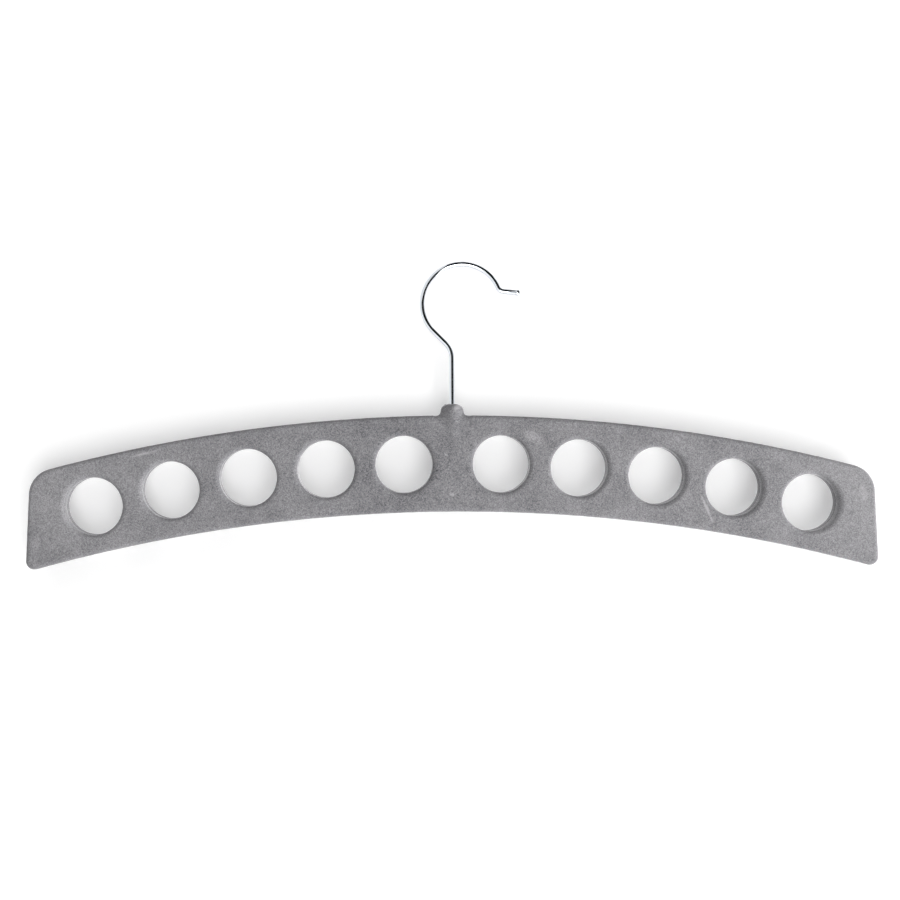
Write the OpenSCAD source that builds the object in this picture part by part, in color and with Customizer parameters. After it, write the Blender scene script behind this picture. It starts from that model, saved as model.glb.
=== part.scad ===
// Arched flat hanger bar with ten tie holes and a swivelling wire hook.
// Upright as it hangs: X runs along the bar, Y through its thickness, Z up.
// The origin is the inner crown of the hook, where the rail touches it.

/* [Bar] */
// Overall length of the bar
bar_l = 450; // [380:1:540]
// Height of the band, from its top edge to its bottom edge
bar_h = 51; // [46:0.5:62]
// Thickness of the bar over its flocked faces
bar_t = 10; // [9:0.1:13]
// Radius of the two long edges
arch_r = 840; // [700:10:1200]
// Angle by which each end leans inward towards the top
end_lean = 2.6; // [0:0.1:5]
// Radius of the two top corners, seen from the front
top_corner_r = 14.5; // [10:0.5:18]
// Radius of the two bottom corners, seen from the front
bottom_corner_r = 4.5; // [3.5:0.5:8]
// Rounding of the outer edges of both faces
edge_r = 2; // [1:0.1:2.5]
// Wall of the two moulded shells
wall = 1.6; // [1.2:0.1:2]
// Depth of the parting line, a fine groove where the shells meet
parting_in = 0.2; // [0.1:0.05:0.3]
// Height of the groove on each shell
parting_t = 0.25; // [0.15:0.05:0.4]

/* [Tie holes] */
// Number of holes on each side of the neck
holes_a_side = 5; // [2:1:5]
// Diameter of a hole at its narrowest
hole_d = 30.2; // [22:0.1:33]
// Distance from one hole to the next, along the arch
hole_pitch = 41.3; // [39:0.1:46]
// Distance between the two holes beside the neck, along the arch
middle_gap = 51.4; // [46:0.1:60]
// Rounding of the rims of a hole
rim_r = 2; // [1:0.1:2.4]
// Wall of the collar round a hole
collar_wall = 2.3; // [2.1:0.1:3]

/* [Inside of the shells] */
// Thickness of the ribs between the holes
rib_t = 1.2; // [0.8:0.1:2]
// Diameter of the locating pins
pin_d = 2.6; // [2:0.1:3.4]
// How far a pin reaches into its socket
pin_l = 2.4; // [1.5:0.1:2.8]
// Wall of the bosses that carry pins and sockets
pin_boss_wall = 1.3; // [1:0.1:1.6]
// Gap round a pin in its socket
pin_gap = 0.1; // [0.05:0.05:0.2]

/* [Neck] */
// Diameter of the round neck that holds the hook
neck_d = 12.4; // [11.5:0.1:14]
// Height of the neck above the top edge
neck_rise = 6; // [4:0.5:10]
// Rounding of the top of the neck
neck_shoulder_r = 4; // [2:0.1:4.3]
// Depth at which the neck has faded into the faces
neck_fade = 20; // [17:0.5:26]
// Radius of the hollow blend from the neck to the top edge
neck_flare_r = 2.5; // [1:0.1:4]
// Thickness over the bush at the top of the neck
neck_cap_t = 1.6; // [1.2:0.1:2.5]
// Floor under the pocket of the hook's head
neck_floor_t = 2; // [1.5:0.1:4]
// Gap round the wire where it leaves the neck
mouth_gap = 0.3; // [0.2:0.05:0.5]

/* [Hook] */
// Diameter of the wire
wire_d = 2.8; // [2.4:0.1:3.4]
// Inner diameter of the hook, which takes the rail
rail_d = 39.4; // [34:0.1:46]
// Sideways distance from the stem to the centre of the hook
hook_shift = 5.5; // [3:0.1:7]
// Height of the centre of the hook above the top edge of the bar
hook_rise = 59.3; // [52:0.1:75]
// Angle of the bend between the stem and the round of the hook
bend_angle = 45; // [38:1:52]
// Radius of that bend
bend_r = 11; // [6:0.5:14]
// Angle above the horizontal at which the round of the hook ends
mouth_angle = 24.8; // [10:0.2:40]
// Length of the straight stretch between the round and the lip
link_l = 0.6; // [0.4:0.1:3]
// Radius of the outward bend at the mouth
lip_r = 3; // [2.5:0.1:5]
// Angle by which the lip still falls
lip_fall = 6; // [0:1:20]
// Length of the straight lip
lip_l = 6.8; // [4:0.1:10]
// Diameter of the ball at the tip
tip_d = 3.4; // [2.6:0.1:4.5]

/* [Swivel] */
// Outer diameter of the bush
bush_d = 6; // [5:0.1:7]
// Length of the bush with its flange
bush_l = 12.4; // [8:0.1:13]
// Diameter of the flange of the bush
flange_d = 8.4; // [7:0.1:8.6]
// Thickness of the flange of the bush
flange_t = 1.4; // [1:0.1:2]
// Diameter of the thrust washer
washer_d = 7.4; // [6:0.1:8]
// Thickness of the thrust washer
washer_t = 0.8; // [0.5:0.1:1.2]
// Diameter of the upset head at the foot of the wire
head_d = 5.2; // [4.4:0.1:6.4]
// Thickness of the upset head
head_t = 1.6; // [1.2:0.1:2.4]
// Gap between the wire and the bush, all round
swivel_gap = 0.06; // [0.02:0.01:0.1]
// Gap between the bush or the washer and the pocket, all round
seat_gap = 0.05; // [0.02:0.01:0.1]
// Gap between the thrust faces, one above the other
thrust_gap = 0.05; // [0.02:0.01:0.1]
// Space left round the head in its pocket
head_gap = 0.8; // [0.5:0.1:1.2]
// Chamfer of the bush and of the washer
small_chamfer = 0.2; // [0.1:0.05:0.3]
// Rounding of the upset head
head_r = 0.5; // [0.3:0.1:0.7]

/* [Hidden] */

flock_grey = "#8C8B8F";
chrome = "#D7DADD";
natural_acetal = "#EDEBE3";
zinc_steel = "#B4B7BA";

// Steps of a full turn, for small rounds and for the long edges
round_fn = 96;
arch_fn = 256;
// How far a cutter runs past the face that it opens
past = 1;
// A rounding or corner stands this much proud of a true tangent, and meets its faces in a crisp line
crisp = 0.05;
// How much thinner the wire is where it is bent, and how far each bend is drawn into its neighbours
bend_thinning = 0.1;
bend_bite = 0.1;

half_t = bar_t / 2;
half_l = bar_l / 2;
hole_r = hole_d / 2;
collar_r = hole_r + collar_wall;
cavity_t = half_t - wall;

// The stem and the top edge of the bar, seen from the origin
stem_x = -hook_shift;
bar_top_z = -(rail_d / 2 + hook_rise);

// Places in the plan of the bar are pairs of X and Z, with the top edge above the stem at 0, 0
top_centre = [0, -arch_r];
bottom_centre = [0, -arch_r - bar_h];
mid_centre = [0, -arch_r - bar_h / 2];
end_normal = [cos(end_lean), sin(end_lean)];
end_run = [-sin(end_lean), cos(end_lean)];

// Centre of the bottom corner, set in from the bottom edge; its arc reaches the overall length
bottom_corner_in = bottom_corner_r - crisp;
bottom_corner_x = half_l - bottom_corner_r * cos(acos(bottom_corner_in / bottom_corner_r) - end_lean);
bottom_corner_z = bottom_centre[1] + sqrt(pow(arch_r + bottom_corner_in, 2) - pow(bottom_corner_x, 2));
bottom_corner = [bottom_corner_x, bottom_corner_z];

// Distance of the end face from the plan's zero, along its normal
end_distance = end_normal * bottom_corner + bottom_corner_in;

// Centre of the top corner, set in from the end face and from the top edge
top_corner_in = top_corner_r - crisp;
top_corner_reach = arch_r - top_corner_in;
top_corner_drop = end_distance - top_corner_in - end_normal * top_centre;
top_corner_turn = asin(top_corner_drop / top_corner_reach) - end_lean;
top_corner_ray = [sin(top_corner_turn), cos(top_corner_turn)];
top_corner = top_centre + top_corner_reach * top_corner_ray;

// Direction from the centre of the bottom edge to the bottom corner
bottom_corner_turn = asin(bottom_corner_x / (arch_r + bottom_corner_in));
bottom_corner_ray = [sin(bottom_corner_turn), cos(bottom_corner_turn)];

// Distances along the arch from the stem: holes, and ribs midway between them
hole_runs = [for (i = [0 : holes_a_side - 1]) middle_gap / 2 + i * hole_pitch];
rib_runs = [for (i = [1 : holes_a_side - 1]) middle_gap / 2 + (i - 0.5) * hole_pitch];
pin_boss_r = pin_d / 2 + pin_gap + pin_boss_wall;
pin_drop = bar_h / 2 - wall - pin_boss_r;

// The swivel, stacked downwards inside the neck
bush_top = neck_rise - neck_cap_t - thrust_gap;
bush_foot = bush_top - bush_l;
washer_top = bush_foot - thrust_gap;
washer_foot = washer_top - washer_t;
head_top = washer_foot - thrust_gap;
head_foot = head_top - head_t;
pocket_foot = head_foot - head_gap;
neck_foot = pocket_foot - neck_floor_t;
stem_bore_r = wire_d / 2 + swivel_gap;
flange_seat = bush_foot + flange_t + thrust_gap;

// The hook's centreline, from the stem upwards
round_r = (rail_d + wire_d) / 2;
round_centre = [hook_shift, hook_rise];
round_start = 180 + bend_angle;
round_foot = round_centre + round_r * [cos(round_start), sin(round_start)];
bend_tangent = bend_r * tan(bend_angle / 2);
bend_cross_z = round_foot[1] + round_foot[0] / tan(bend_angle);
bend_start_z = bend_cross_z - bend_tangent;
bend_end = [-bend_tangent * sin(bend_angle), bend_cross_z + bend_tangent * cos(bend_angle)];
slope_l = norm(round_foot - bend_end);
mouth_ray = [cos(mouth_angle), sin(mouth_angle)];
mouth_end = round_centre + round_r * mouth_ray;
link_run = [sin(mouth_angle), -cos(mouth_angle)];
lip_centre = mouth_end + link_l * link_run + lip_r * mouth_ray;
lip_sweep = 90 - mouth_angle - lip_fall;
lip_end_angle = mouth_angle + 180 + lip_sweep;
lip_foot = lip_centre + lip_r * [cos(lip_end_angle), sin(lip_end_angle)];
tip = lip_foot + lip_l * [cos(lip_fall), -sin(lip_fall)];

// Point on the middle line of the bar, a distance along it and a distance above it
function on_arch(run, above = 0) =
    let (turn = run / (arch_r * PI / 180))
    mid_centre + (arch_r + above) * [sin(turn), cos(turn)];

// Moves what is drawn round the stem to its place under the rail
module at_bar() {
    translate([stem_x, 0, bar_top_z])
        children();
}

// Repeats a shape on the left as a mirror image of the one on the right
module both_ends() {
    children();
    mirror([1, 0, 0])
        children();
}

// Thickens a plan from the seam towards the front
module thicken(depth) {
    rotate([90, 0, 0])
        linear_extrude(height = depth)
            children();
}

// Sweeps a section round a point of the plan; the section's X is the radius and its Y the depth
module sweep_in_plan(centre, start, sweep) {
    translate([centre[0], 0, centre[1]])
        rotate([90, 0, 0])
            rotate([0, 0, start])
                rotate_extrude(angle = sweep, $fn = arch_fn)
                    children();
}

// Plan of the bar, drawn in by a distance on all sides
module bar_plan(inset = 0) {
    difference() {
        intersection() {
            translate(top_centre)
                circle(r = arch_r - inset, $fn = arch_fn);
            end_limits(inset);
        }
        translate(bottom_centre)
            circle(r = arch_r + inset, $fn = arch_fn);
        both_ends() {
            corner_waste(top_corner, top_corner_r - inset, end_normal, top_corner_ray);
            corner_waste(bottom_corner, bottom_corner_r - inset, end_normal, -bottom_corner_ray);
        }
    }
}

// Region between the two leaning ends
module end_limits(inset) {
    low = bottom_corner + (bottom_corner_in - inset) * end_normal - 2 * bar_h * end_run;
    high = top_corner + (top_corner_in - inset) * end_normal + 2 * bar_h * end_run;
    polygon([low, high, [-high[0], high[1]], [-low[0], low[1]]]);
}

// What a round corner leaves of a sharp one, between the two directions in which it touches
module corner_waste(centre, radius, one, other) {
    reach = past + radius / (1 + one * other);
    difference() {
        polygon([centre, centre + reach * one, centre + reach * (one + other), centre + reach * other]);
        translate(centre)
            circle(r = radius, $fn = round_fn);
    }
}

// Section of what a rounding takes off the front edge; the material lies on the low side of at
module outer_edge_waste(at, radius) {
    translate([at - radius + crisp, half_t - radius + crisp])
        difference() {
            square(radius + past);
            circle(r = radius, $fn = round_fn);
        }
}

// The same where the material lies on the high side
module inner_edge_waste(at, radius) {
    translate([at, half_t])
        mirror([1, 0])
            translate([-at, -half_t])
                outer_edge_waste(at, radius);
}

// What the rounding takes off all round the front edge of the bar. The long stretches run on past
// the corners, and each corner's own stretch ends inside its neighbours.
module edge_ribbon() {
    long_turn = asin((half_l + bar_t) / arch_r);
    corner_start = 90 - top_corner_turn;
    foot_start = -90 - bottom_corner_turn;
    sweep_in_plan(top_centre, 90 - long_turn, 2 * long_turn)
        outer_edge_waste(arch_r, edge_r);
    sweep_in_plan(bottom_centre, 90 - long_turn, 2 * long_turn)
        inner_edge_waste(arch_r, edge_r);
    both_ends() {
        sweep_in_plan(top_corner, end_lean, corner_start - end_lean)
            outer_edge_waste(top_corner_r, edge_r);
        sweep_in_plan(bottom_corner, foot_start, end_lean - foot_start)
            outer_edge_waste(bottom_corner_r, edge_r);
        end_ribbon();
    }
}

// The straight stretch of that ribbon, up one end and past both corners
module end_ribbon() {
    foot = bottom_corner - bar_t * end_run;
    translate([foot[0], 0, foot[1]])
        rotate([0, -end_lean, 0])
            linear_extrude(height = (top_corner - foot) * end_run + 2 * bar_t)
                mirror([0, 1])
                    outer_edge_waste(bottom_corner_in, edge_r);
}

// Half of the neck, in front of the seam
module neck_half() {
    shoulder = min(neck_shoulder_r, neck_d / 2 - stem_bore_r);
    rotate([0, 0, 180])
        rotate_extrude(angle = 180, $fn = round_fn) {
            difference() {
                neck_section();
                translate([neck_d / 2 - shoulder + crisp, neck_rise - shoulder + crisp])
                    difference() {
                        square(shoulder + past);
                        circle(r = shoulder, $fn = round_fn);
                    }
            }
        }
}

// Outline of the neck beside its axis: a barrel that narrows until the faces swallow it
module neck_section() {
    polygon([
        [0, neck_rise],
        [neck_d / 2, neck_rise],
        [neck_d / 2, -edge_r],
        [half_t - crisp, -neck_fade],
        [0, -neck_fade]
    ]);
}

// Hollow blends between the neck and the top edge
module neck_flares() {
    middle = neck_flare_r - 2 * crisp;
    both_ends()
        translate([neck_d / 2, 0, 0])
            thicken(half_t - edge_r)
                difference() {
                    translate([-past, -past])
                        square(middle + past);
                    translate([middle, middle])
                        circle(r = neck_flare_r, $fn = round_fn);
                }
}

// Places a shape at each hole
module at_holes() {
    for (side = [-1, 1], run = hole_runs) {
        centre = on_arch(run);
        translate([side * centre[0], 0, centre[1]])
            children();
    }
}

// What one hole takes out of the front half, with its rounded rim and its share of the parting line
module hole_waste() {
    rotate([90, 0, 0])
        rotate_extrude($fn = round_fn) {
            translate([0, -past])
                square([hole_r, half_t + 2 * past]);
            translate([0, -past])
                square([hole_r + parting_in, parting_t + past]);
            inner_edge_waste(hole_r, rim_r);
        }
}

// The hollow of the front half, less what stands in it
module hollow() {
    difference() {
        translate([0, past, 0])
            thicken(cavity_t + past)
                bar_plan(wall);
        at_holes()
            rotate([90, 0, 0])
                cylinder(r = collar_r, h = bar_t, center = true, $fn = round_fn);
        ribs();
        pin_bosses();
        translate([0, 0, neck_foot])
            cylinder(d = neck_d, h = neck_rise - neck_foot, $fn = round_fn);
    }
}

// Cross ribs midway between the holes
module ribs() {
    for (side = [-1, 1], run = rib_runs) {
        centre = on_arch(run);
        translate([side * centre[0], 0, centre[1]])
            rotate([0, side * run / (arch_r * PI / 180), 0])
                cube([rib_t, bar_t, 2 * bar_h], center = true);
    }
}

// Places a shape at each locating pin, at the foot of every other rib
module at_pins() {
    for (side = [-1, 1], i = [0 : 2 : len(rib_runs) - 1]) {
        centre = on_arch(rib_runs[i], -pin_drop);
        translate([side * centre[0], 0, centre[1]])
            rotate([90, 0, 0])
                children();
    }
}

// Round bosses that carry the pins of one shell and the sockets of the other
module pin_bosses() {
    at_pins()
        cylinder(r = pin_boss_r, h = bar_t, center = true, $fn = round_fn);
}

// Pocket for the bush, the washer and the head of the wire
module swivel_pocket() {
    seat_r = bush_d / 2 + seat_gap;
    flange_r = flange_d / 2 + seat_gap;
    mouth_r = wire_d / 2 + mouth_gap;
    rotate_extrude($fn = round_fn)
        polygon([
            [0, neck_rise + past],
            [mouth_r, neck_rise + past],
            [mouth_r, bush_top + thrust_gap],
            [seat_r, bush_top + thrust_gap],
            [seat_r, flange_seat],
            [flange_r, flange_seat],
            [flange_r, pocket_foot],
            [0, pocket_foot]
        ]);
}

// Slab of the front half, stepped in at the seam for the parting line
module slab() {
    thicken(2 * parting_t)
        bar_plan(parting_in);
    translate([0, -parting_t, 0])
        thicken(half_t - parting_t)
            bar_plan();
}

// One moulded half, drawn in front of the seam
module half_shell() {
    difference() {
        union() {
            difference() {
                slab();
                edge_ribbon();
            }
            neck_half();
            neck_flares();
        }
        hollow();
        at_holes()
            hole_waste();
        swivel_pocket();
    }
}

// Front half of the bar, with the locating pins
module front_shell() {
    color(flock_grey)
        at_bar() {
            half_shell();
            at_pins()
                translate([0, 0, -pin_l])
                    cylinder(d = pin_d, h = pin_l + half_t - wall, $fn = round_fn);
        }
}

// Back half of the bar, with the sockets
module back_shell() {
    color(flock_grey)
        at_bar()
            difference() {
                mirror([0, 1, 0])
                    half_shell();
                at_pins()
                    translate([0, 0, -pin_l - pin_gap])
                        cylinder(r = pin_d / 2 + pin_gap, h = pin_l + pin_gap + past, $fn = round_fn);
            }
}

// A straight stretch of wire from a point of the plan, at an angle above the horizontal
module wire_straight(from, angle, length) {
    translate([from[0], 0, from[1]])
        rotate([0, 90 - angle, 0])
            cylinder(d = wire_d, h = length, $fn = round_fn);
}

// A round stretch of wire, a hair thinner than the straight ones and seated a little way into them
module wire_bend(centre, radius, start, sweep) {
    bite = bend_bite / (radius * PI / 180);
    sweep_in_plan(centre, start - bite, sweep + 2 * bite)
        translate([radius, 0])
            circle(d = wire_d - bend_thinning, $fn = round_fn);
}

// The ball at the tip, turned about the lip's own axis, with a tiny flat where the turning starts
module ball_tip() {
    flat = tip_d / 2 - crisp / 2;
    translate([tip[0], 0, tip[1]])
        rotate([0, 90 + lip_fall, 0])
            rotate_extrude($fn = round_fn)
                intersection() {
                    circle(d = tip_d, $fn = round_fn);
                    translate([0, -flat])
                        square([tip_d, 2 * flat]);
                }
}

// The head that the press has upset at the foot of the wire, rounded below
module upset_head() {
    rotate_extrude($fn = round_fn)
        difference() {
            translate([0, head_foot])
                square([head_d / 2, head_t]);
            translate([head_d / 2 - head_r + crisp, head_foot + head_r - crisp])
                difference() {
                    translate([0, -head_r - past])
                        square(head_r + past);
                    circle(r = head_r, $fn = round_fn);
                }
        }
}

// The hook: upset head, stem, bend, round, lip and ball tip
module hook_wire() {
    color(chrome)
        at_bar() {
            upset_head();
            wire_straight([0, head_top], 90, bend_start_z - head_top);
            wire_bend([-bend_r, bend_start_z], bend_r, 0, bend_angle);
            wire_straight(bend_end, 90 + bend_angle, slope_l);
            wire_bend(round_centre, round_r, mouth_angle, round_start - mouth_angle);
            wire_straight(mouth_end, mouth_angle - 90, link_l);
            wire_bend(lip_centre, lip_r, mouth_angle + 180, lip_sweep);
            wire_straight(lip_foot, -lip_fall, lip_l);
            ball_tip();
        }
}

// The plain bush in which the stem turns, with its thrust flange below
module swivel_bush() {
    color(natural_acetal)
        at_bar()
            rotate_extrude($fn = round_fn)
                polygon([
                    [stem_bore_r, bush_foot],
                    [flange_d / 2 - small_chamfer, bush_foot],
                    [flange_d / 2, bush_foot + small_chamfer],
                    [flange_d / 2, bush_foot + flange_t],
                    [bush_d / 2, bush_foot + flange_t],
                    [bush_d / 2, bush_top - small_chamfer],
                    [bush_d / 2 - small_chamfer, bush_top],
                    [stem_bore_r, bush_top]
                ]);
}

// The steel washer between the bush and the head of the wire
module thrust_washer() {
    color(zinc_steel)
        at_bar()
            rotate_extrude($fn = round_fn)
                polygon([
                    [stem_bore_r, washer_foot],
                    [washer_d / 2, washer_foot],
                    [washer_d / 2, washer_top - small_chamfer],
                    [washer_d / 2 - small_chamfer, washer_top],
                    [stem_bore_r, washer_top]
                ]);
}

front_shell();
back_shell();
hook_wire();
swivel_bush();
thrust_washer();
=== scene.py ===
"""Looks of a flocked tie hanger: velvet bar with ten holes, chromed swivel hook, and the studio round them."""

import logging
import math
from collections.abc import Callable, Iterator
from contextlib import contextmanager
from dataclasses import dataclass, field
from enum import Enum
from typing import Any

import bmesh
import bpy
from mathutils import Matrix, Vector

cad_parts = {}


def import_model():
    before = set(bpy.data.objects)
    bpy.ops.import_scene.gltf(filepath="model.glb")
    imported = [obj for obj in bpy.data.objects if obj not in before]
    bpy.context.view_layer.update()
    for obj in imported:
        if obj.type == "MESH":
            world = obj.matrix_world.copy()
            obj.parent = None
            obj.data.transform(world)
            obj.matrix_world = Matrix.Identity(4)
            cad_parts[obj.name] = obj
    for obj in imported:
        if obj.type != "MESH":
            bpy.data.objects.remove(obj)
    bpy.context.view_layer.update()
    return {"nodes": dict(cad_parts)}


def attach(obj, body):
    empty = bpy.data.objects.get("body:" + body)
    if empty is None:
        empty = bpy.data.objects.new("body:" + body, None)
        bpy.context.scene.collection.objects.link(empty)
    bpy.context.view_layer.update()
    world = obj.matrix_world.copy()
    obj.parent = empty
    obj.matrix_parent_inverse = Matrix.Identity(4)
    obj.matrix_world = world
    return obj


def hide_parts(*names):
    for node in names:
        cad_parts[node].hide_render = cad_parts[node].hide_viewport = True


LOG = logging.getLogger("tie_hanger")
MM = 0.001
# Two points closer than this many millimetres count as one
HAIR = 0.01
Point = tuple[float, float, float]
# Where the stem meets the top edge of the bar, in millimetres of the frame
STEM: Point = (-5.5, 0.0, -79.0)


class Half(Enum):
    """Side of the seam that a moulded half lies on, and the name of its model."""

    FRONT = "flocked_front_half"
    BACK = "flocked_back_half"


class Pick(Enum):
    """What a selection test is asked about."""

    VERTS = "VERT"
    EDGES = "EDGE"
    FACES = "FACE"


class Facing(Enum):
    """How a black card stands: the axis that it is turned up about, if it isn't lying flat."""

    FRONT = "X"
    SIDE = "Y"
    ABOVE = "Z"


def mm(*lengths: float) -> tuple[float, ...]:
    """Millimetres as metres."""
    return tuple(length * MM for length in lengths)


def deselect_all() -> None:
    """Leaves nothing selected, so that an operator acts on its own piece only."""
    if bpy.context.object and bpy.context.object.mode != "OBJECT":
        bpy.ops.object.mode_set(mode="OBJECT")
    bpy.ops.object.select_all(action="DESELECT")


def make_active(obj: bpy.types.Object) -> None:
    """Selects one object alone and makes it the active one.

    Args:
        obj: The object.
    """
    deselect_all()
    obj.select_set(True)
    bpy.context.view_layer.objects.active = obj


@contextmanager
def editing(obj: bpy.types.Object) -> Iterator[None]:
    """Edit mode on one object, and object mode again afterwards.

    Args:
        obj: The object.
    """
    make_active(obj)
    bpy.ops.object.mode_set(mode="EDIT")
    yield
    bpy.ops.object.mode_set(mode="OBJECT")


def pick(obj: bpy.types.Object, kind: Pick, test: Callable[[Any], bool]) -> None:
    """Selects the elements of a mesh in edit mode that pass a test, and no others.

    Args:
        obj: The object in edit mode.
        kind: Vertices, edges or faces.
        test: Tells whether an element is wanted.
    """
    bpy.ops.mesh.select_all(action="DESELECT")
    bpy.ops.mesh.select_mode(type=kind.value)
    mesh = bmesh.from_edit_mesh(obj.data)
    elements = {Pick.VERTS: mesh.verts, Pick.EDGES: mesh.edges, Pick.FACES: mesh.faces}[kind]
    for element in elements:
        if test(element):
            element.select_set(True)
    mesh.select_flush(True)
    bmesh.update_edit_mesh(obj.data)


def apply_modifier(obj: bpy.types.Object, kind: str, **settings: Any) -> None:
    """Adds a modifier to an object and applies it at once.

    Args:
        obj: The object.
        kind: The modifier's type.
        settings: The modifier's properties.
    """
    make_active(obj)
    modifier = obj.modifiers.new(kind.lower(), kind)
    for name, value in settings.items():
        setattr(modifier, name, value)
    bpy.ops.object.modifier_apply(modifier=modifier.name)


def combine(obj: bpy.types.Object, tool: bpy.types.Object, operation: str) -> None:
    """Cuts or joins one solid with another, which is used up."""
    apply_modifier(obj, "BOOLEAN", operation=operation, solver="EXACT", object=tool)
    bpy.data.objects.remove(tool)


def extrude(step: Vector | Point) -> None:
    """Extrudes the selection by a step in metres."""
    bpy.ops.mesh.extrude_region_move(TRANSFORM_OT_translate={"value": tuple(step)})


def spin(centre: Vector, angle: float, steps: int) -> None:
    """Spins the selection clockwise, as seen from the front.

    Args:
        centre: The middle of the turn in millimetres.
        angle: The turn in radians.
        steps: How many parts the arc has.
    """
    bpy.ops.mesh.spin(steps=steps, angle=-angle, center=tuple(centre * MM), axis=(0, 1, 0), use_auto_merge=False)


def turned(name: str, profile: list[tuple[float, float]], sides: int) -> bpy.types.Object:
    """A solid of revolution about Z, raised ring by ring from a disc.

    Args:
        name: Name of the new object.
        profile: Radius and height of each ring in millimetres, from the foot up.
        sides: Vertices of a ring.

    Returns:
        The closed solid.
    """
    deselect_all()
    radius, height = profile[0]
    bpy.ops.mesh.primitive_circle_add(vertices=sides, radius=radius * MM, fill_type="NGON")
    solid = bpy.context.object
    solid.name = name
    with editing(solid):
        bpy.ops.mesh.select_all(action="SELECT")
        bpy.ops.transform.translate(value=(0, 0, height * MM))
        for next_radius, next_height in profile[1:]:
            extrude((0, 0, (next_height - height) * MM))
            grow = next_radius / radius
            bpy.ops.transform.resize(value=(grow, grow, 1), center_override=(0, 0, next_height * MM))
            radius, height = next_radius, next_height
        bpy.ops.mesh.select_all(action="SELECT")
        bpy.ops.mesh.normals_make_consistent(inside=False)
    return solid


def smooth(obj: bpy.types.Object, crease: float) -> None:
    """Shades an object smooth, apart from edges sharper than an angle in degrees."""
    make_active(obj)
    bpy.ops.object.shade_smooth_by_angle(angle=math.radians(crease))


def dress(obj: bpy.types.Object, material: bpy.types.Material) -> None:
    """Puts one material on the whole of an object.

    Args:
        obj: The object.
        material: The material.
    """
    obj.data.materials.clear()
    obj.data.materials.append(material)
    for face in obj.data.polygons:
        face.material_index = 0


def srgb(code: str) -> tuple[float, float, float, float]:
    """Turns an sRGB hex colour into the linear one that a shader takes.

    Args:
        code: The colour, such as "#46464A".

    Returns:
        Linear red, green and blue, and 1 for alpha.
    """
    channels = [int(code[i : i + 2], 16) / 255 for i in (1, 3, 5)]
    linear = [c / 12.92 if c <= 0.04045 else ((c + 0.055) / 1.055) ** 2.4 for c in channels]
    return (*linear, 1.0)


def add_node(
    tree: bpy.types.NodeTree, kind: str, inputs: dict[Any, Any] | None = None, **settings: Any
) -> bpy.types.Node:
    """Adds a node with its settings, values and links.

    Args:
        tree: The node tree.
        kind: The node's type.
        inputs: For each input, by name or number, a value, or the socket or node that feeds it. A node
            feeds it with its first output.
        settings: The node's own properties.

    Returns:
        The node.
    """
    node = tree.nodes.new(kind)
    for name, value in settings.items():
        setattr(node, name, value)
    for key, value in (inputs or {}).items():
        if isinstance(value, bpy.types.Node):
            value = value.outputs[0]
        if isinstance(value, bpy.types.NodeSocket):
            tree.links.new(value, node.inputs[key])
        else:
            node.inputs[key].default_value = value
    return node


def new_material(name: str) -> tuple[bpy.types.Material, bpy.types.NodeTree]:
    """An empty node material.

    Args:
        name: What the real material is and how its surface was made.

    Returns:
        The material and its node tree.
    """
    material = bpy.data.materials.new(name)
    material.use_nodes = True
    material.node_tree.nodes.clear()
    return material, material.node_tree


@dataclass(frozen=True)
class Mark:
    """A soft patch in the flock's tone. Most are marks in the nap, where a touch has laid the fibres over; the
    rest are painted highlight and painted shade.

    Its place, half length and half width are millimetres and its turn is degrees. The shade says how
    much lighter it is.
    """

    x: float
    z: float
    long: float
    wide: float
    turn: float
    shade: float


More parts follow.
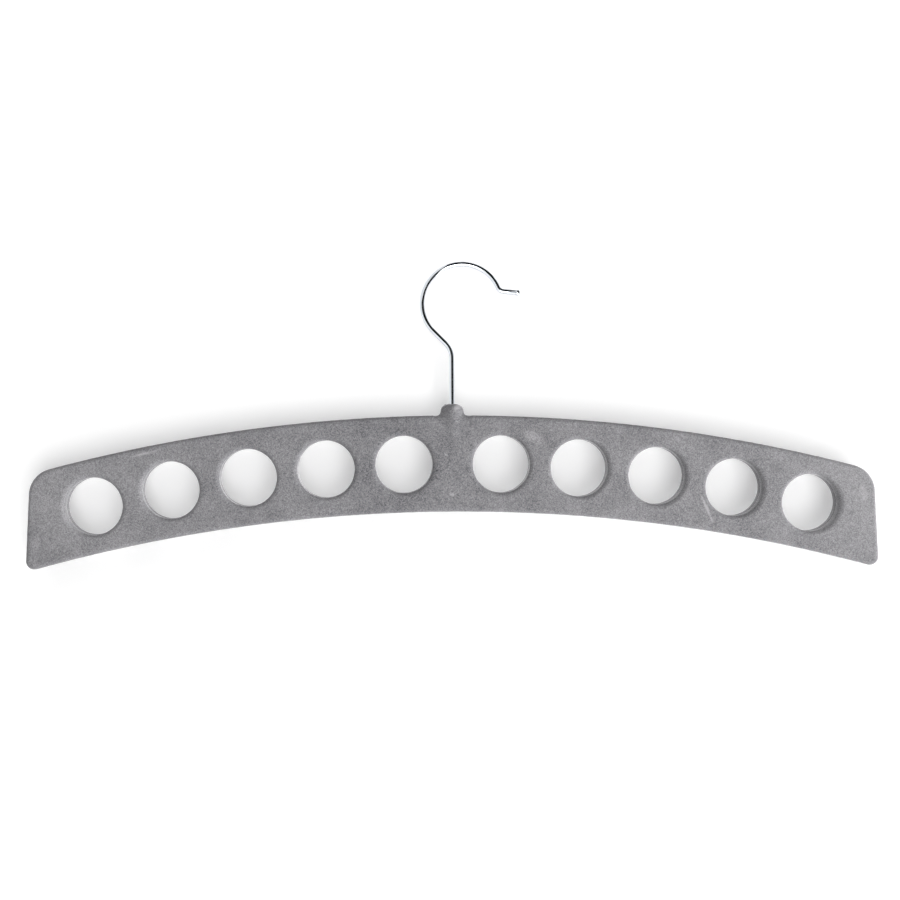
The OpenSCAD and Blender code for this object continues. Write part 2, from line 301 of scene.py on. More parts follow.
@dataclass(frozen=True)
class GreyFlock:
    """Nylon flock, shot upright onto ABS: a dull velvet nap that lights up at grazing angles.

    Sizes are millimetres. Each share says how much of its noise goes into the tone.
    """

    dark: str = "#46464A"
    light: str = "#989799"
    sheen_tint: str = "#F4F4F6"
    sheen: float = 1.0
    sheen_roughness: float = 0.3
    roughness: float = 0.95
    specular: float = 0.15
    nap_depth: float = 0.25
    nap_strength: float = 0.5
    tufts_in_nap: float = 0.6
    # Fibres are 0.02 mm thick, too fine to show, so the grain is drawn as clumps of them
    clump: float = 0.52
    tuft: float = 1.5
    cloud: float = 14.0
    detail: float = 2.5
    clump_share: float = 1.5
    tuft_share: float = 0.3
    cloud_share: float = 0.4
    level: float = -0.6
    # A mark fades between these two distances from its middle, in its own half lengths, with frayed edges
    full_at: float = 0.5
    gone_at: float = 1.4
    fray: float = 3.0
    fray_share: float = 0.8
    marks_and_painted_light: tuple[Mark, ...] = (
        Mark(37.0, -90.5, 9.0, 4.5, 35, 0.35),
        Mark(128.0, -128.3, 9.9, 1.1, 67, 0.7),
        Mark(-168.0, -98.5, 9.0, 1.1, -12, 0.45),
        Mark(-14.1, -108.2, 0.8, 0.6, 0, -1.0),
        Mark(-6.1, -120.9, 2.2, 1.2, 10, 0.5),
        Mark(-9.3, -99.8, 1.6, 1.0, 40, 0.4),
        Mark(189.0, -96.8, 0.9, 0.6, 0, -1.0),
        Mark(211.0, -121.0, 7.0, 3.0, 80, 0.25),
        Mark(-225.0, -146.0, 3.5, 5.5, 20, 0.25),
        # Painted highlight: a lighter ring on the neck's top rim, where the flock fuzz would catch the light
        Mark(-3.2, -74.6, 3.5, 2.0, -20, 0.7),
        # Painted light at both ends of the bar and painted shade in the middle, in place of sheen and lamp
        # fall-off
        Mark(-205.0, -125.0, 50.0, 45.0, 0, 0.1),
        Mark(200.0, -120.0, 60.0, 50.0, 0, 0.13),
        Mark(-30.0, -105.0, 75.0, 50.0, 0, -0.12),
    )

    def material(self) -> bpy.types.Material:
        """Mixes the flock's tone, with its marks and its painted highlight and shade, and its nap and sheen.

        Returns:
            The material, on Object coordinates.
        """
        material, tree = new_material("grey nylon flock, shot on ABS")
        place = add_node(tree, "ShaderNodeTexCoord").outputs["Object"]
        sizes = (self.clump, self.tuft, self.cloud)
        noises = ({"Vector": place, "Scale": 1 / (size * MM), "Detail": self.detail} for size in sizes)
        clumps, tufts, clouds = (add_node(tree, "ShaderNodeTexNoise", noise) for noise in noises)
        tone: bpy.types.Node | float = self.level
        shares = (self.clump_share, self.tuft_share, self.cloud_share)
        for grain, share in zip((clumps, tufts, clouds), shares):
            tone = add_node(tree, "ShaderNodeMath", {0: grain, 1: share, 2: tone}, operation="MULTIPLY_ADD")
        # The marks lay wear, painted highlight and painted shade over the grain
        for mark in self.marks_and_painted_light:
            fade = self._fade(tree, place, mark)
            tone = add_node(tree, "ShaderNodeMath", {0: fade, 1: mark.shade, 2: tone}, operation="MULTIPLY_ADD")
        ramp = add_node(tree, "ShaderNodeValToRGB", {"Fac": tone})
        for stop, code in zip(ramp.color_ramp.elements, (self.dark, self.light)):
            stop.color = srgb(code)
        lumps = {0: tufts, 1: self.tufts_in_nap, 2: clumps}
        nap = add_node(tree, "ShaderNodeMath", lumps, operation="MULTIPLY_ADD")
        relief = {"Height": nap, "Strength": self.nap_strength, "Distance": self.nap_depth * MM}
        bump = add_node(tree, "ShaderNodeBump", relief)
        shader = add_node(
            tree,
            "ShaderNodeBsdfPrincipled",
            {
                "Base Color": ramp.outputs["Color"],
                "Normal": bump.outputs["Normal"],
                "Roughness": self.roughness,
                "Specular IOR Level": self.specular,
                "Sheen Weight": self.sheen,
                "Sheen Roughness": self.sheen_roughness,
                "Sheen Tint": srgb(self.sheen_tint),
            },
        )
        add_node(tree, "ShaderNodeOutputMaterial", {"Surface": shader})
        return material

    def _fade(self, tree: bpy.types.NodeTree, place: bpy.types.NodeSocket, mark: Mark) -> bpy.types.Node:
        """Draws the soft, ragged outline of one mark.

        Args:
            tree: The material's node tree.
            place: The Object coordinates.
            mark: The mark.

        Returns:
            A node that gives 1 at the middle of the mark and 0 past its edge.
        """
        spot = add_node(
            tree,
            "ShaderNodeMapping",
            {
                "Vector": place,
                "Location": mm(mark.x, 0, mark.z),
                "Rotation": (0, math.radians(mark.turn), 0),
                "Scale": (mark.long * MM, 1.0, mark.wide * MM),
            },
            vector_type="TEXTURE",
        )
        length = add_node(tree, "ShaderNodeVectorMath", {0: spot}, operation="LENGTH").outputs["Value"]
        threads = {"Vector": place, "Scale": 1 / (self.fray * MM), "Detail": 3.0}
        frays = add_node(tree, "ShaderNodeTexNoise", threads)
        edge = {0: frays, 1: self.fray_share, 2: length}
        ragged = add_node(tree, "ShaderNodeMath", edge, operation="MULTIPLY_ADD")
        fade = {"Value": ragged, "From Min": self.gone_at, "From Max": self.full_at}
        return add_node(tree, "ShaderNodeMapRange", fade, interpolation_type="SMOOTHSTEP")


@dataclass(frozen=True)
class BrightChrome:
    """Drawn steel wire, nickelled and chromed: a near mirror with a faint ripple from the drawing die.

    Sizes are millimetres. The roughness wanders between clear and hazy.
    """

    colour: str = "#DDE1E6"
    haze: float = 6.0
    ripple: float = 2.2
    ripple_depth: float = 0.02
    ripple_strength: float = 0.25
    clear: float = 0.03
    hazy: float = 0.1

    def material(self) -> bpy.types.Material:
        """Mixes the chrome's mirror, haze and ripple.

        Returns:
            The material, on Object coordinates.
        """
        material, tree = new_material("bright chrome on drawn steel wire")
        place = add_node(tree, "ShaderNodeTexCoord").outputs["Object"]
        haze = add_node(tree, "ShaderNodeTexNoise", {"Vector": place, "Scale": 1 / (self.haze * MM)})
        rough = add_node(tree, "ShaderNodeMapRange", {"Value": haze, "To Min": self.clear, "To Max": self.hazy})
        waves = {"Vector": place, "Scale": 1 / (self.ripple * MM), "Detail": 1.0}
        ripple = add_node(tree, "ShaderNodeTexNoise", waves)
        relief = {"Height": ripple, "Strength": self.ripple_strength, "Distance": self.ripple_depth * MM}
        bump = add_node(tree, "ShaderNodeBump", relief)
        shader = add_node(
            tree,
            "ShaderNodeBsdfPrincipled",
            {
                "Base Color": srgb(self.colour),
                "Metallic": 1.0,
                "Roughness": rough,
                "Normal": bump.outputs["Normal"],
            },
        )
        add_node(tree, "ShaderNodeOutputMaterial", {"Surface": shader})
        return material


@dataclass(frozen=True)
class NaturalAcetal:
    """Unfilled acetal, injection moulded: milky, slightly waxy, with faint flow clouds. Sizes are millimetres."""

    pale: str = "#F1EFE7"
    deep: str = "#E2DFD4"
    flow: float = 2.5
    grain: float = 0.3
    grain_depth: float = 0.02
    grain_strength: float = 0.2
    roughness: float = 0.38
    ior: float = 1.48
    milk: float = 0.08
    milk_depth: float = 0.6

    def material(self) -> bpy.types.Material:
        """Mixes the acetal's flow clouds, grain and milkiness.

        Returns:
            The material, on Object coordinates.
        """
        material, tree = new_material("natural acetal, moulded")
        place = add_node(tree, "ShaderNodeTexCoord").outputs["Object"]
        flow = add_node(tree, "ShaderNodeTexNoise", {"Vector": place, "Scale": 1 / (self.flow * MM)})
        ramp = add_node(tree, "ShaderNodeValToRGB", {"Fac": flow})
        for stop, code in zip(ramp.color_ramp.elements, (self.deep, self.pale)):
            stop.color = srgb(code)
        specks = {"Vector": place, "Scale": 1 / (self.grain * MM), "Detail": 1.0}
        grain = add_node(tree, "ShaderNodeTexNoise", specks)
        relief = {"Height": grain, "Strength": self.grain_strength, "Distance": self.grain_depth * MM}
        bump = add_node(tree, "ShaderNodeBump", relief)
        shader = add_node(
            tree,
            "ShaderNodeBsdfPrincipled",
            {
                "Base Color": ramp.outputs["Color"],
                "Normal": bump.outputs["Normal"],
                "Roughness": self.roughness,
                "IOR": self.ior,
                "Subsurface Weight": self.milk,
                "Subsurface Scale": self.milk_depth * MM,
            },
        )
        add_node(tree, "ShaderNodeOutputMaterial", {"Surface": shader})
        return material


@dataclass(frozen=True)
class ZincPlate:
    """Stamped steel washer, zinc plated: satin grey with a fine spangle, its size in millimetres."""

    pale: str = "#C3C6C9"
    deep: str = "#9DA1A5"
    spangle: float = 0.5
    roughness: float = 0.34

    def material(self) -> bpy.types.Material:
        """Mixes the plating's spangle.

        Returns:
            The material, on Object coordinates.
        """
        material, tree = new_material("zinc plated steel, stamped")
        place = add_node(tree, "ShaderNodeTexCoord").outputs["Object"]
        spangle = add_node(tree, "ShaderNodeTexVoronoi", {"Vector": place, "Scale": 1 / (self.spangle * MM)})
        ramp = add_node(tree, "ShaderNodeValToRGB", {"Fac": spangle.outputs["Distance"]})
        for stop, code in zip(ramp.color_ramp.elements, (self.deep, self.pale)):
            stop.color = srgb(code)
        shader = add_node(
            tree,
            "ShaderNodeBsdfPrincipled",
            {"Base Color": ramp.outputs["Color"], "Metallic": 1.0, "Roughness": self.roughness},
        )
        add_node(tree, "ShaderNodeOutputMaterial", {"Surface": shader})
        return material


@dataclass
class FlockedBar:
    """The arched bar in two flocked halves.

    Sizes are millimetres and angles degrees. Heights count from the top edge at the stem, where the arc
    is highest. The pocket is a list of radii and heights, from its floor up to the mouth for the wire.
    """

    length: float = 450.0
    height: float = 51.0
    thickness: float = 10.0
    arch_r: float = 840.0
    end_lean: float = 2.6
    top_corner_r: float = 14.5
    bottom_corner_r: float = 4.5
    edge_r: float = 2.0
    edge_steps: int = 6
    hole_r: float = 15.1
    hole_pitch: float = 41.3
    middle_gap: float = 51.4
    holes_a_side: int = 5
    neck_r: float = 6.2
    neck_rise: float = 6.0
    neck_shoulder: float = 4.0
    neck_fade: float = 20.0
    neck_sink: float = 0.1
    # The neck is softened this far to each side, below its foot, and above the top edge with its slope
    soft_side: float = 10.0
    soft_below: float = 6.0
    soft_above: float = 2.0
    soft_slope: float = 0.1
    soft_passes: int = 40
    pocket: tuple[tuple[float, float], ...] = (
        (4.25, -12.91),
        (4.25, -6.55),
        (3.05, -6.55),
        (3.05, 4.4),
        (1.7, 4.4),
        (1.7, 9.0),
    )
    # The chamfer at the seam, and how far the slab reaches past it before the cut
    seam: float = 0.2
    past_seam: float = 2.0
    # The voxel of the even mesh, small enough to carry the lumps of the nap
    cell: float = 0.56
    nap_size: float = 2.4
    nap_height: float = 0.14
    arc_steps: int = 60
    corner_steps: int = 16
    neck_sides: int = 64
    hole_sides: int = 96
    crease: float = 50.0
    stem: Point = STEM
    finish: GreyFlock = field(default_factory=GreyFlock)

    def build(self) -> dict[Half, bpy.types.Object]:
        """Models both halves and dresses them.

        Returns:
            The two halves, by the side of the seam they lie on.
        """
        blank = self._blank()
        self._drill(blank)
        self._round_front(blank)
        combine(blank, self._neck(), "UNION")
        apply_modifier(blank, "REMESH", mode="VOXEL", voxel_size=self.cell * MM, use_smooth_shade=True)
        self._soften_neck(blank)
        self._ruffle(blank)
        combine(blank, turned("swivel_pocket_cutter", list(self.pocket), self.neck_sides), "DIFFERENCE")
        self._cut_at_seam(blank)
        with editing(blank):
            bpy.ops.mesh.select_all(action="SELECT")
            bpy.ops.transform.translate(value=mm(*self.stem))
        smooth(blank, self.crease)
        dress(blank, self.finish.material())
        back = self._mirrored(blank)
        blank.name, back.name = Half.FRONT.value, Half.BACK.value
        return {Half.FRONT: blank, Half.BACK: back}

    def hole_places(self) -> list[tuple[float, float]]:
        """Sets the holes out along the middle arc.

        Returns:
            X and Z of the middle of each hole in millimetres, from left to right.
        """
        runs = [self.middle_gap / 2 + i * self.hole_pitch for i in range(self.holes_a_side)]
        places = []
        for run in [-r for r in reversed(runs)] + runs:
            turn = run / self.arch_r
            places.append((self.arch_r * math.sin(turn), self.arch_r * (math.cos(turn) - 1) - self.height / 2))
        return places

    def _blank(self) -> bpy.types.Object:
        """The band without holes, from the front face to past the seam.

        A single point is spun and extruded along the right half of the outline, the left half is its
        mirror image, and the face between them is drawn out to a slab.

        Returns:
            The slab.
        """
        lean = math.radians(self.end_lean)
        normal = Vector((math.cos(lean), 0, math.sin(lean)))
        top, foot = Vector((0, 0, -self.arch_r)), Vector((0, 0, -self.arch_r - self.height))
        low_x = self.length / 2 - self.bottom_corner_r
        low_reach = self.arch_r + self.bottom_corner_r
        low = foot + Vector((low_x, 0, math.sqrt(low_reach**2 - low_x**2)))
        end = normal.dot(low) + self.bottom_corner_r
        high_reach = self.arch_r - self.top_corner_r
        high_turn = math.asin((end - self.top_corner_r - normal.dot(top)) / high_reach) - lean
        high = top + high_reach * Vector((math.sin(high_turn), 0, math.cos(high_turn)))
        low_turn = math.asin(low_x / low_reach)

        deselect_all()
        bpy.ops.mesh.primitive_plane_add(size=MM)
        blank = bpy.context.object
        with editing(blank):
            bpy.ops.mesh.select_all(action="SELECT")
            bpy.ops.mesh.merge(type="CENTER")
            bpy.ops.transform.translate(value=(0, -self.thickness / 2 * MM, 0))
            spin(top, high_turn, self.arc_steps)
            spin(high, math.pi / 2 - high_turn - lean, self.corner_steps)
            extrude((low - high - (low - high).dot(normal) * normal) * MM)
            spin(low, lean + math.pi / 2 + low_turn, self.corner_steps)
            spin(foot, -low_turn, self.arc_steps)
        apply_modifier(blank, "MIRROR", use_axis=(True, False, False), merge_threshold=HAIR * MM)
        with editing(blank):
            bpy.ops.mesh.select_all(action="SELECT")
            bpy.ops.mesh.remove_doubles(threshold=HAIR * MM)
            bpy.ops.mesh.edge_face_add()
            extrude((0, (self.thickness / 2 + self.past_seam) * MM, 0))
            bpy.ops.mesh.select_all(action="SELECT")
            bpy.ops.mesh.normals_make_consistent(inside=False)
        return blank

    def _drill(self, blank: bpy.types.Object) -> None:
        """Drills the ten holes with one joined set of cylinders.

        Args:
            blank: The slab.
        """
        deselect_all()
        drills = None
        for x, z in self.hole_places():
            bpy.ops.mesh.primitive_cylinder_add(
                vertices=self.hole_sides,
                radius=self.hole_r * MM,
                depth=4 * self.thickness * MM,
                location=mm(x, 0, z),
                rotation=(math.pi / 2, 0, 0),
            )
            drill = bpy.context.object
            bpy.ops.object.transform_apply()
            if drills is None:
                drills = drill
            else:
                deselect_all()
                drill.select_set(True)
                drills.select_set(True)
                bpy.context.view_layer.objects.active = drills
                bpy.ops.object.join()
            deselect_all()
        combine(blank, drills, "DIFFERENCE")

    def _round_front(self, blank: bpy.types.Object) -> None:
        """Rounds the outline and the rims of the holes at the front face.

        Args:
            blank: The drilled slab.
        """
        front = -self.thickness / 2 * MM

        def at_front_edge(edge: bmesh.types.BMEdge) -> bool:
            """Whether an edge borders the front face."""
            flat = all(abs(v.co.y - front) < HAIR * MM for v in edge.verts)
            return flat and any(abs(face.normal.y) < 0.5 for face in edge.link_faces)

        with editing(blank):
            pick(blank, Pick.EDGES, at_front_edge)
            bpy.ops.mesh.bevel(
                offset=self.edge_r * MM, offset_type="OFFSET", segments=self.edge_steps, clamp_overlap=False
            )

    def _neck(self) -> bpy.types.Object:
        """The round neck: a barrel with a rounded shoulder that sinks into the faces below.

        Returns:
            The neck, to be joined to the slab.
        """
        shoulder = [math.radians(step * 10) for step in range(10)]
        middle = self.neck_r - self.neck_shoulder
        crown = [
            (middle + self.neck_shoulder * math.cos(a), self.neck_rise - self.neck_shoulder * (1 - math.sin(a)))
            for a in shoulder
        ]
        foot = [(self.thickness / 2 - self.neck_sink, -self.neck_fade), (self.neck_r, -self.edge_r)]
        return turned("neck", foot + crown, self.neck_sides)

    def _soften_neck(self, blank: bpy.types.Object) -> None:
        """Lets the neck run into the faces and the top edge without a crease.

        Args:
            blank: The slab with its neck.
        """
        low = -self.neck_fade - self.soft_below

        def near_neck(vert: bmesh.types.BMVert) -> bool:
            """Whether a point lies on the neck or where it runs out."""
            x, z = abs(vert.co.x) / MM, vert.co.z / MM
            return x < self.soft_side and low < z < self.soft_above + self.soft_slope * x

        with editing(blank):
            pick(blank, Pick.VERTS, near_neck)
            bpy.ops.mesh.vertices_smooth(factor=0.5, repeat=self.soft_passes)

    def _ruffle(self, blank: bpy.types.Object) -> None:
        """Gives the nap the small unevenness of a flocked coat.

        Args:
            blank: The slab with its neck.
        """
        clumps = bpy.data.textures.new("nap_clumps", "CLOUDS")
        clumps.noise_scale = self.nap_size * MM
        clumps.noise_depth = 2
        height = self.nap_height * MM
        apply_modifier(blank, "DISPLACE", texture=clumps, strength=height, mid_level=0.5, texture_coords="LOCAL")

    def _cut_at_seam(self, blank: bpy.types.Object) -> None:
        """Keeps the front half, with the small chamfer all round that shows as the parting line.

        Args:
            blank: The slab with its neck and pocket.
        """
        with editing(blank):
            bpy.ops.mesh.select_all(action="SELECT")
            bpy.ops.mesh.bisect(
                plane_co=(0, -self.seam * MM, 0), plane_no=(0, 1, 0), use_fill=True, clear_outer=True
            )
            bpy.ops.mesh.inset(thickness=self.seam * MM, depth=self.seam * MM, use_even_offset=True)

    @staticmethod
    def _mirrored(front: bpy.types.Object) -> bpy.types.Object:
        """Copies the front half and turns it over to the back.

        Args:
            front: The front half.

        Returns:
            The back half, with its own mesh.
        """
        make_active(front)
        bpy.ops.object.duplicate()
        back = bpy.context.object
        with editing(back):
            bpy.ops.mesh.select_all(action="SELECT")
            bpy.ops.transform.mirror(constraint_axis=(False, True, False), center_override=(0, 0, 0))
            bpy.ops.mesh.normals_make_consistent(inside=False)
        return back


@dataclass
class WireHook:
    """The bent wire hook with its upset head and ball tip.

    Sizes are millimetres and angles degrees. The stem stands at zero, and heights count from the top
    edge of the bar.
    """

    wire_d: float = 2.8
    rail_d: float = 39.4
    shift: float = 5.5
    rise: float = 59.3
    bend_angle: float = 45.0
    bend_r: float = 11.0
    mouth_angle: float = 24.8
    lip_r: float = 3.0
    lip_fall: float = 6.0
    lip_l: float = 6.8
    link_l: float = 0.6
    tip_d: float = 3.4
    head_d: float = 5.2
    head_foot: float = -11.3
    head_top: float = -9.7
    head_chamfer: float = 0.3
    head_shoulder: float = 0.2
    # The wire that is turned in one piece with the head, before the rest is drawn from it
    first_l: float = 1.0
    bend_steps: int = 12
    round_steps: int = 90
    lip_steps: int = 10
    ball_steps: int = 12
    # Radians left open at the pole, where the last ring closes the ball
    ball_flat: float = 0.06
    crease: float = 40.0
    stem: Point = STEM
    sides: int = 28
    finish: BrightChrome = field(default_factory=BrightChrome)

    def build(self) -> bpy.types.Object:
        """Models the hook by drawing one ring of the wire along its bends, and dresses it.

        Returns:
            The hook.
        """
        round_r = (self.rail_d + self.wire_d) / 2
        bend = math.radians(self.bend_angle)
        centre = Vector((self.shift, 0, self.rise))
        foot = centre + round_r * Vector((-math.cos(bend), 0, -math.sin(bend)))
        slope = Vector((-math.sin(bend), 0, math.cos(bend)))
        tangent = self.bend_r * math.tan(bend / 2)
        cross_z = foot.z + foot.x / math.tan(bend)
        bend_start = cross_z - tangent
        bend_end = Vector((0, 0, cross_z)) + tangent * slope
        mouth = math.radians(self.mouth_angle)
        ray = Vector((math.cos(mouth), 0, math.sin(mouth)))
        link = Vector((math.sin(mouth), 0, -math.cos(mouth))) * self.link_l
        lip_centre = centre + (round_r + self.lip_r) * ray + link
        fall = math.radians(self.lip_fall)
        run = Vector((math.cos(fall), 0, -math.sin(fall)))

        hook = self._head()
        first_top = self.head_top + self.first_l
        with editing(hook):
            end = (first_top - HAIR) * MM
            pick(hook, Pick.FACES, lambda face: min(v.co.z for v in face.verts) > end)
            extrude((0, 0, (bend_start - first_top) * MM))
            spin(Vector((-self.bend_r, 0, bend_start)), -bend, self.bend_steps)
            extrude((foot - bend_end) * MM)
            spin(centre, math.pi + bend - mouth, self.round_steps)
            extrude(link * MM)
            spin(lip_centre, -(math.pi / 2 - mouth - fall), self.lip_steps)
            extrude(run * self.lip_l * MM)
            self._ball(run)
            bpy.ops.mesh.select_all(action="SELECT")
            bpy.ops.transform.translate(value=mm(*self.stem))
            bpy.ops.mesh.normals_make_consistent(inside=False)
        smooth(hook, self.crease)
        dress(hook, self.finish.material())
        return hook

    def _head(self) -> bpy.types.Object:
        """Turns the upset head, with the first bit of the wire on it.

        Returns:
            The head, which becomes the hook as the wire is drawn from its top face.
        """
        head_r, wire_r = self.head_d / 2, self.wire_d / 2
        foot, top = self.head_foot, self.head_top
        profile = [(head_r - self.head_chamfer, foot), (head_r, foot + self.head_chamfer)]
        profile += [(head_r, top - self.head_shoulder), (head_r - self.head_shoulder, top)]
        profile += [(wire_r, top), (wire_r, top + self.first_l)]
        return turned("chromed_hook", profile, self.sides)

    def _ball(self, run: Vector) -> None:
        """Closes the selected end of the wire with the ball at the tip.

        Args:
            run: The direction in which the lip runs.
        """
        ball_r, wire_r = self.tip_d / 2, self.wire_d / 2
        start = -math.acos(wire_r / ball_r)
        sweep = math.pi / 2 - self.ball_flat - start
        along, radius = ball_r * math.sin(start), wire_r
        for step in range(1, self.ball_steps + 1):
            angle = start + sweep * step / self.ball_steps
            next_along, next_radius = ball_r * math.sin(angle), ball_r * math.cos(angle)
            extrude(run * (next_along - along) * MM)
            grow = next_radius / radius
            mesh = bmesh.from_edit_mesh(bpy.context.object.data)
            ring = [v.co for v in mesh.verts if v.select]
            middle = sum(ring, Vector()) / len(ring)
            bpy.ops.transform.resize(value=(grow, grow, grow), center_override=tuple(middle))
            along, radius = next_along, next_radius


@dataclass
class Swivel:
    """The bush and the thrust washer inside the neck, which keep their own shapes."""

    bush_finish: NaturalAcetal = field(default_factory=NaturalAcetal)
    washer_finish: ZincPlate = field(default_factory=ZincPlate)

    def dress(self, nodes: dict[str, bpy.types.Object]) -> None:
        """Puts their finishes on the two nodes.

        Args:
            nodes: The CAD nodes by name.
        """
        dress(nodes["swivel_bush"], self.bush_finish.material())
        dress(nodes["thrust_washer"], self.washer_finish.material())


@dataclass(frozen=True)
class SoftBox:
    """A square soft box that is aimed at the hanger. Its place and its side are millimetres."""

    name: str
    place: Point
    side: float
    watts: float
    in_chrome: bool = True
    on_sweep: bool = True


@dataclass(frozen=True)
class BlackCard:
    """A black card that only shows in the chrome. Its middle and its two sides are millimetres."""

    name: str
    middle: Point
    sides: tuple[float, float]
    facing: Facing


@dataclass
class Studio:
    """White sweep close behind the hanger, a white floor well below it, soft lamps and a pale room.

    Sizes are millimetres. The hook turns clear of the sweep.
    """

    sweep_gap: float = 18.5
    floor_z: float = -1000.0
    sweep_size: float = 2600.0
    floor_size: float = 15600.0
    white: str = "#F4F4F4"
    black: str = "#101114"
    sweep_glow: float = 0.17
    floor_glow: float = 0.7
    room: float = 0.38
    aim: Point = (0.0, 0.0, -95.0)
    lamps: tuple[SoftBox, ...] = (
        SoftBox("key", (200, -1250, -470), 800, 9.3),
        SoftBox("fill", (-150, -650, 620), 600, 2.4, in_chrome=False),
        SoftBox("rear", (60, 950, 420), 600, 9.0),
        # It stands so far to the right that its shadow would show as a second hanger on the sweep
        SoftBox("side", (1450, -360, -600), 600, 38.0, in_chrome=False, on_sweep=False),
    )
    # They make the dark line that runs along the wire
    cards: tuple[BlackCard, ...] = (
        BlackCard("side_card", (330, -810, 150), (900, 1380), Facing.SIDE),
        BlackCard("top_card", (130, -790, 310), (420, 1600), Facing.ABOVE),
        BlackCard("front_card", (-245, -1100, 35), (910, 370), Facing.FRONT),
    )

    def build(self) -> None:
        """Sets the stage, the room, the lamps and the black cards."""
        sweep = self._sweep()
        self._floor()
        self._room()
        for box in self.lamps:
            lamp = self._lamp(box)
            if not box.on_sweep:
                self._keep_off(lamp, sweep)
        for card in self.cards:
            self._stand(card)

    def _stand(self, plan: BlackCard) -> None:
        """Makes a card and stands it in its place.

        Args:
            plan: What the card is like.
        """
        deselect_all()
        bpy.ops.mesh.primitive_plane_add(size=MM)
        card = bpy.context.object
        card.name = plan.name
        with editing(card):
            bpy.ops.mesh.select_all(action="SELECT")
            bpy.ops.transform.resize(value=(*plan.sides, 1))
            if plan.facing is not Facing.ABOVE:
                axis = plan.facing.value
                bpy.ops.transform.rotate(value=math.pi / 2, orient_axis=axis, center_override=(0, 0, 0))
            bpy.ops.transform.translate(value=mm(*plan.middle))
        # Felt swallows the light, so the chrome mirrors a plain dark field
        material, tree = new_material("black felt card")
        felt = add_node(tree, "ShaderNodeBsdfDiffuse", {"Color": srgb(self.black)})
        add_node(tree, "ShaderNodeOutputMaterial", {"Surface": felt})
        dress(card, material)
        card.visible_camera = card.visible_diffuse = card.visible_shadow = card.visible_transmission = False

    @staticmethod
    def _seen(tree: bpy.types.NodeTree) -> bpy.types.Node:
        """Tells what the camera sees, straight or in metal or glass, from other light.

        Args:
            tree: The node tree.

        Returns:
            A node that gives 1 for what the camera sees and 0 for other light.
        """
        path = add_node(tree, "ShaderNodeLightPath").outputs
        rays = {0: path["Is Camera Ray"], 1: path["Is Glossy Ray"]}
        bounced = add_node(tree, "ShaderNodeMath", rays, operation="MAXIMUM")
        rays = {0: bounced, 1: path["Is Transmission Ray"]}
        return add_node(tree, "ShaderNodeMath", rays, operation="MAXIMUM")

    def _sweep(self) -> bpy.types.Object:
        """The white sheet behind the hanger, which only takes its shadow and lets light through from behind.

        Returns:
            The sheet.
        """
        deselect_all()
        place = mm(0, self.sweep_gap, self.floor_z + self.sweep_size / 2)
        bpy.ops.mesh.primitive_plane_add(size=self.sweep_size * MM, rotation=(math.pi / 2, 0, 0), location=place)
        sweep = bpy.context.object
        sweep.name = "sweep"
        # Matt paper takes the hanger's soft shadow, and its glow keeps that shadow pale
        material, tree = new_material("white paper sweep")
        behind = add_node(tree, "ShaderNodeNewGeometry").outputs["Backfacing"]
        seen = add_node(tree, "ShaderNodeMath", {0: self._seen(tree), 1: behind}, operation="SUBTRACT")
        paper = add_node(tree, "ShaderNodeBsdfDiffuse", {"Color": srgb(self.white)})
        glow = add_node(tree, "ShaderNodeEmission", {"Strength": self.sweep_glow})
        lit = add_node(tree, "ShaderNodeAddShader", {0: paper, 1: glow})
        clear = add_node(tree, "ShaderNodeBsdfTransparent")
        mix = add_node(tree, "ShaderNodeMixShader", {0: seen, 1: clear, 2: lit})
        add_node(tree, "ShaderNodeOutputMaterial", {"Surface": mix})
        dress(sweep, material)
        return sweep

    def _floor(self) -> None:
        """The white floor, well below the frame of the picture."""
        deselect_all()
        bpy.ops.mesh.primitive_plane_add(size=self.floor_size * MM, location=mm(0, 0, self.floor_z))
        floor = bpy.context.object
        floor.name = "floor"
        # Matt paper, which glows only for the camera, so that a view from above stays white
        material, tree = new_material("white paper floor")
        paper = add_node(tree, "ShaderNodeBsdfDiffuse", {"Color": srgb(self.white)})
        level = add_node(tree, "ShaderNodeMath", {0: self._seen(tree), 1: self.floor_glow}, operation="MULTIPLY")
        glow = add_node(tree, "ShaderNodeEmission", {"Strength": level})
        lit = add_node(tree, "ShaderNodeAddShader", {0: paper, 1: glow})
        add_node(tree, "ShaderNodeOutputMaterial", {"Surface": lit})
        dress(floor, material)

    def _room(self) -> None:
        """A white background for the camera, and a dimmer pale room that lights the hanger from all sides."""
        world = bpy.data.worlds.new("room")
        bpy.context.scene.world = world
        world.use_nodes = True
        tree = world.node_tree
        tree.nodes.clear()
        share = {0: self._seen(tree), 1: 1.0 - self.room, 2: self.room}
        strength = add_node(tree, "ShaderNodeMath", share, operation="MULTIPLY_ADD")
        sky = add_node(tree, "ShaderNodeBackground", {"Color": srgb("#FFFFFF"), "Strength": strength})
        add_node(tree, "ShaderNodeOutputWorld", {"Surface": sky})

    @staticmethod
    def _keep_off(lamp: bpy.types.Object, thing: bpy.types.Object) -> None:
        """Keeps a lamp's light off one thing on the stage.

        Args:
            lamp: The lamp.
            thing: What it leaves unlit.
        """
        unlit = bpy.data.collections.new(f"not_lit_by_{lamp.name}")
        unlit.objects.link(thing)
        unlit.collection_objects[0].light_linking.link_state = "EXCLUDE"
        lamp.light_linking.receiver_collection = unlit

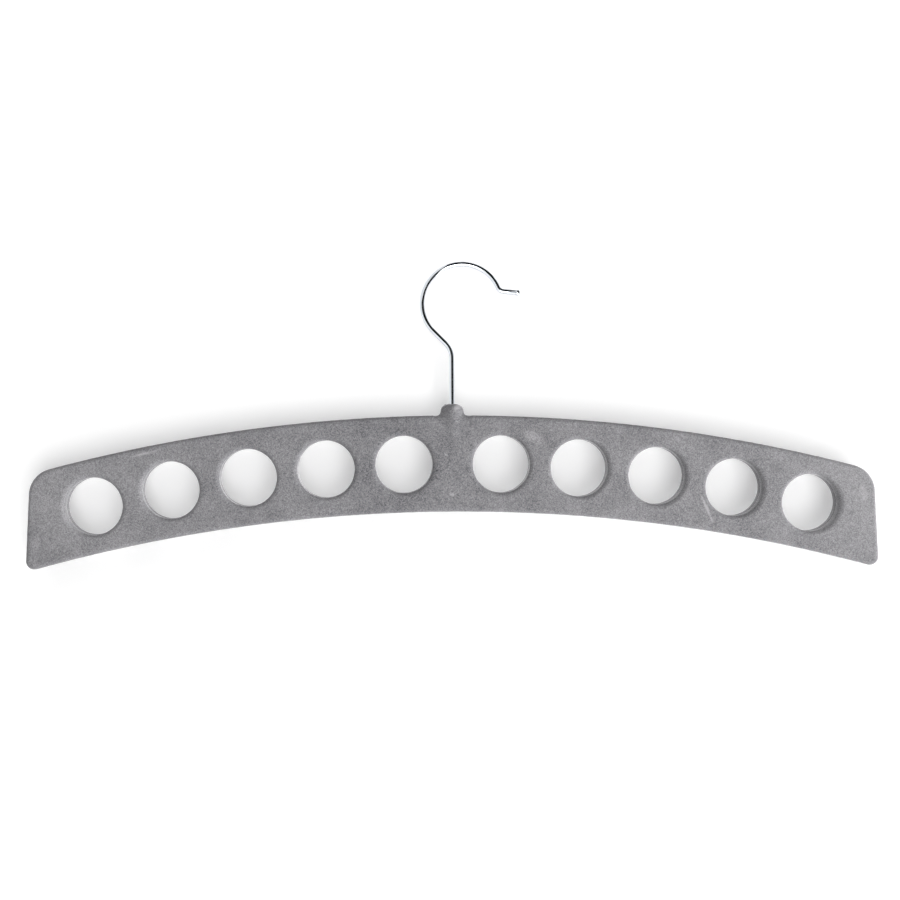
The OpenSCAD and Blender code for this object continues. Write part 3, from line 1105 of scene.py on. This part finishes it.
    def _lamp(self, box: SoftBox) -> bpy.types.Object:
        """Hangs a soft box and aims it.

        Args:
            box: What the lamp is like.

        Returns:
            The lamp.
        """
        light = bpy.data.lights.new(box.name, "AREA")
        light.size = box.side * MM
        light.energy = box.watts
        lamp = bpy.data.objects.new(box.name, light)
        bpy.context.scene.collection.objects.link(lamp)
        lamp.location = mm(*box.place)
        lamp.rotation_euler = (Vector(self.aim) - Vector(box.place)).to_track_quat("-Z", "Y").to_euler()
        lamp.visible_camera = False
        lamp.visible_glossy = box.in_chrome
        return lamp


@dataclass
class Viewpoint:
    """The photograph's camera: nearly straight on, a little to the left of the middle, held a hair crooked.

    Sizes are millimetres and angles degrees. The frame's width is what the picture spans at the seam.
    """

    distance: float = 482.0
    frame_width: float = 478.2
    centre_x: float = -6.7
    centre_z: float = -97.2
    camera_x: float = -43.6
    roll: float = 0.28
    yaw: float = 0.35
    sensor: float = 36.0

    def build(self) -> None:
        """Makes the camera and gives it to the scene."""
        data = bpy.data.cameras.new("viewpoint")
        data.sensor_width = self.sensor
        data.lens = self.sensor * self.distance / self.frame_width
        aim_x = self.camera_x + self.distance * math.tan(math.radians(self.yaw))
        data.shift_x = (self.centre_x - aim_x) / self.frame_width
        data.clip_start, data.clip_end = mm(10, 20000)
        camera = bpy.data.objects.new("viewpoint", data)
        bpy.context.scene.collection.objects.link(camera)
        yaw = Matrix.Rotation(-math.radians(self.yaw), 4, "Z")
        turn = yaw @ Matrix.Rotation(math.radians(self.roll), 4, "Y") @ Matrix.Rotation(math.pi / 2, 4, "X")
        camera.matrix_world = Matrix.Translation(mm(self.camera_x, -self.distance, self.centre_z)) @ turn
        bpy.context.scene.camera = camera


def main() -> None:
    """Builds the pieces in order, then the studio and the camera."""
    logging.basicConfig(level=logging.INFO, format="%(message)s")
    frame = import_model()

    halves = FlockedBar().build()
    for half, node in ((Half.FRONT, "front_shell"), (Half.BACK, "back_shell")):
        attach(halves[half], "bar")
        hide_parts(node)
        LOG.info("%s: %d faces", halves[half].name, len(halves[half].data.polygons))

    hook = WireHook().build()
    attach(hook, "hook")
    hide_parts("hook_wire")
    LOG.info("%s: %d faces", hook.name, len(hook.data.polygons))

    Swivel().dress(frame["nodes"])
    Studio().build()
    Viewpoint().build()
    bpy.context.scene.view_settings.view_transform = "Standard"


if __name__ == "__main__":
    main()
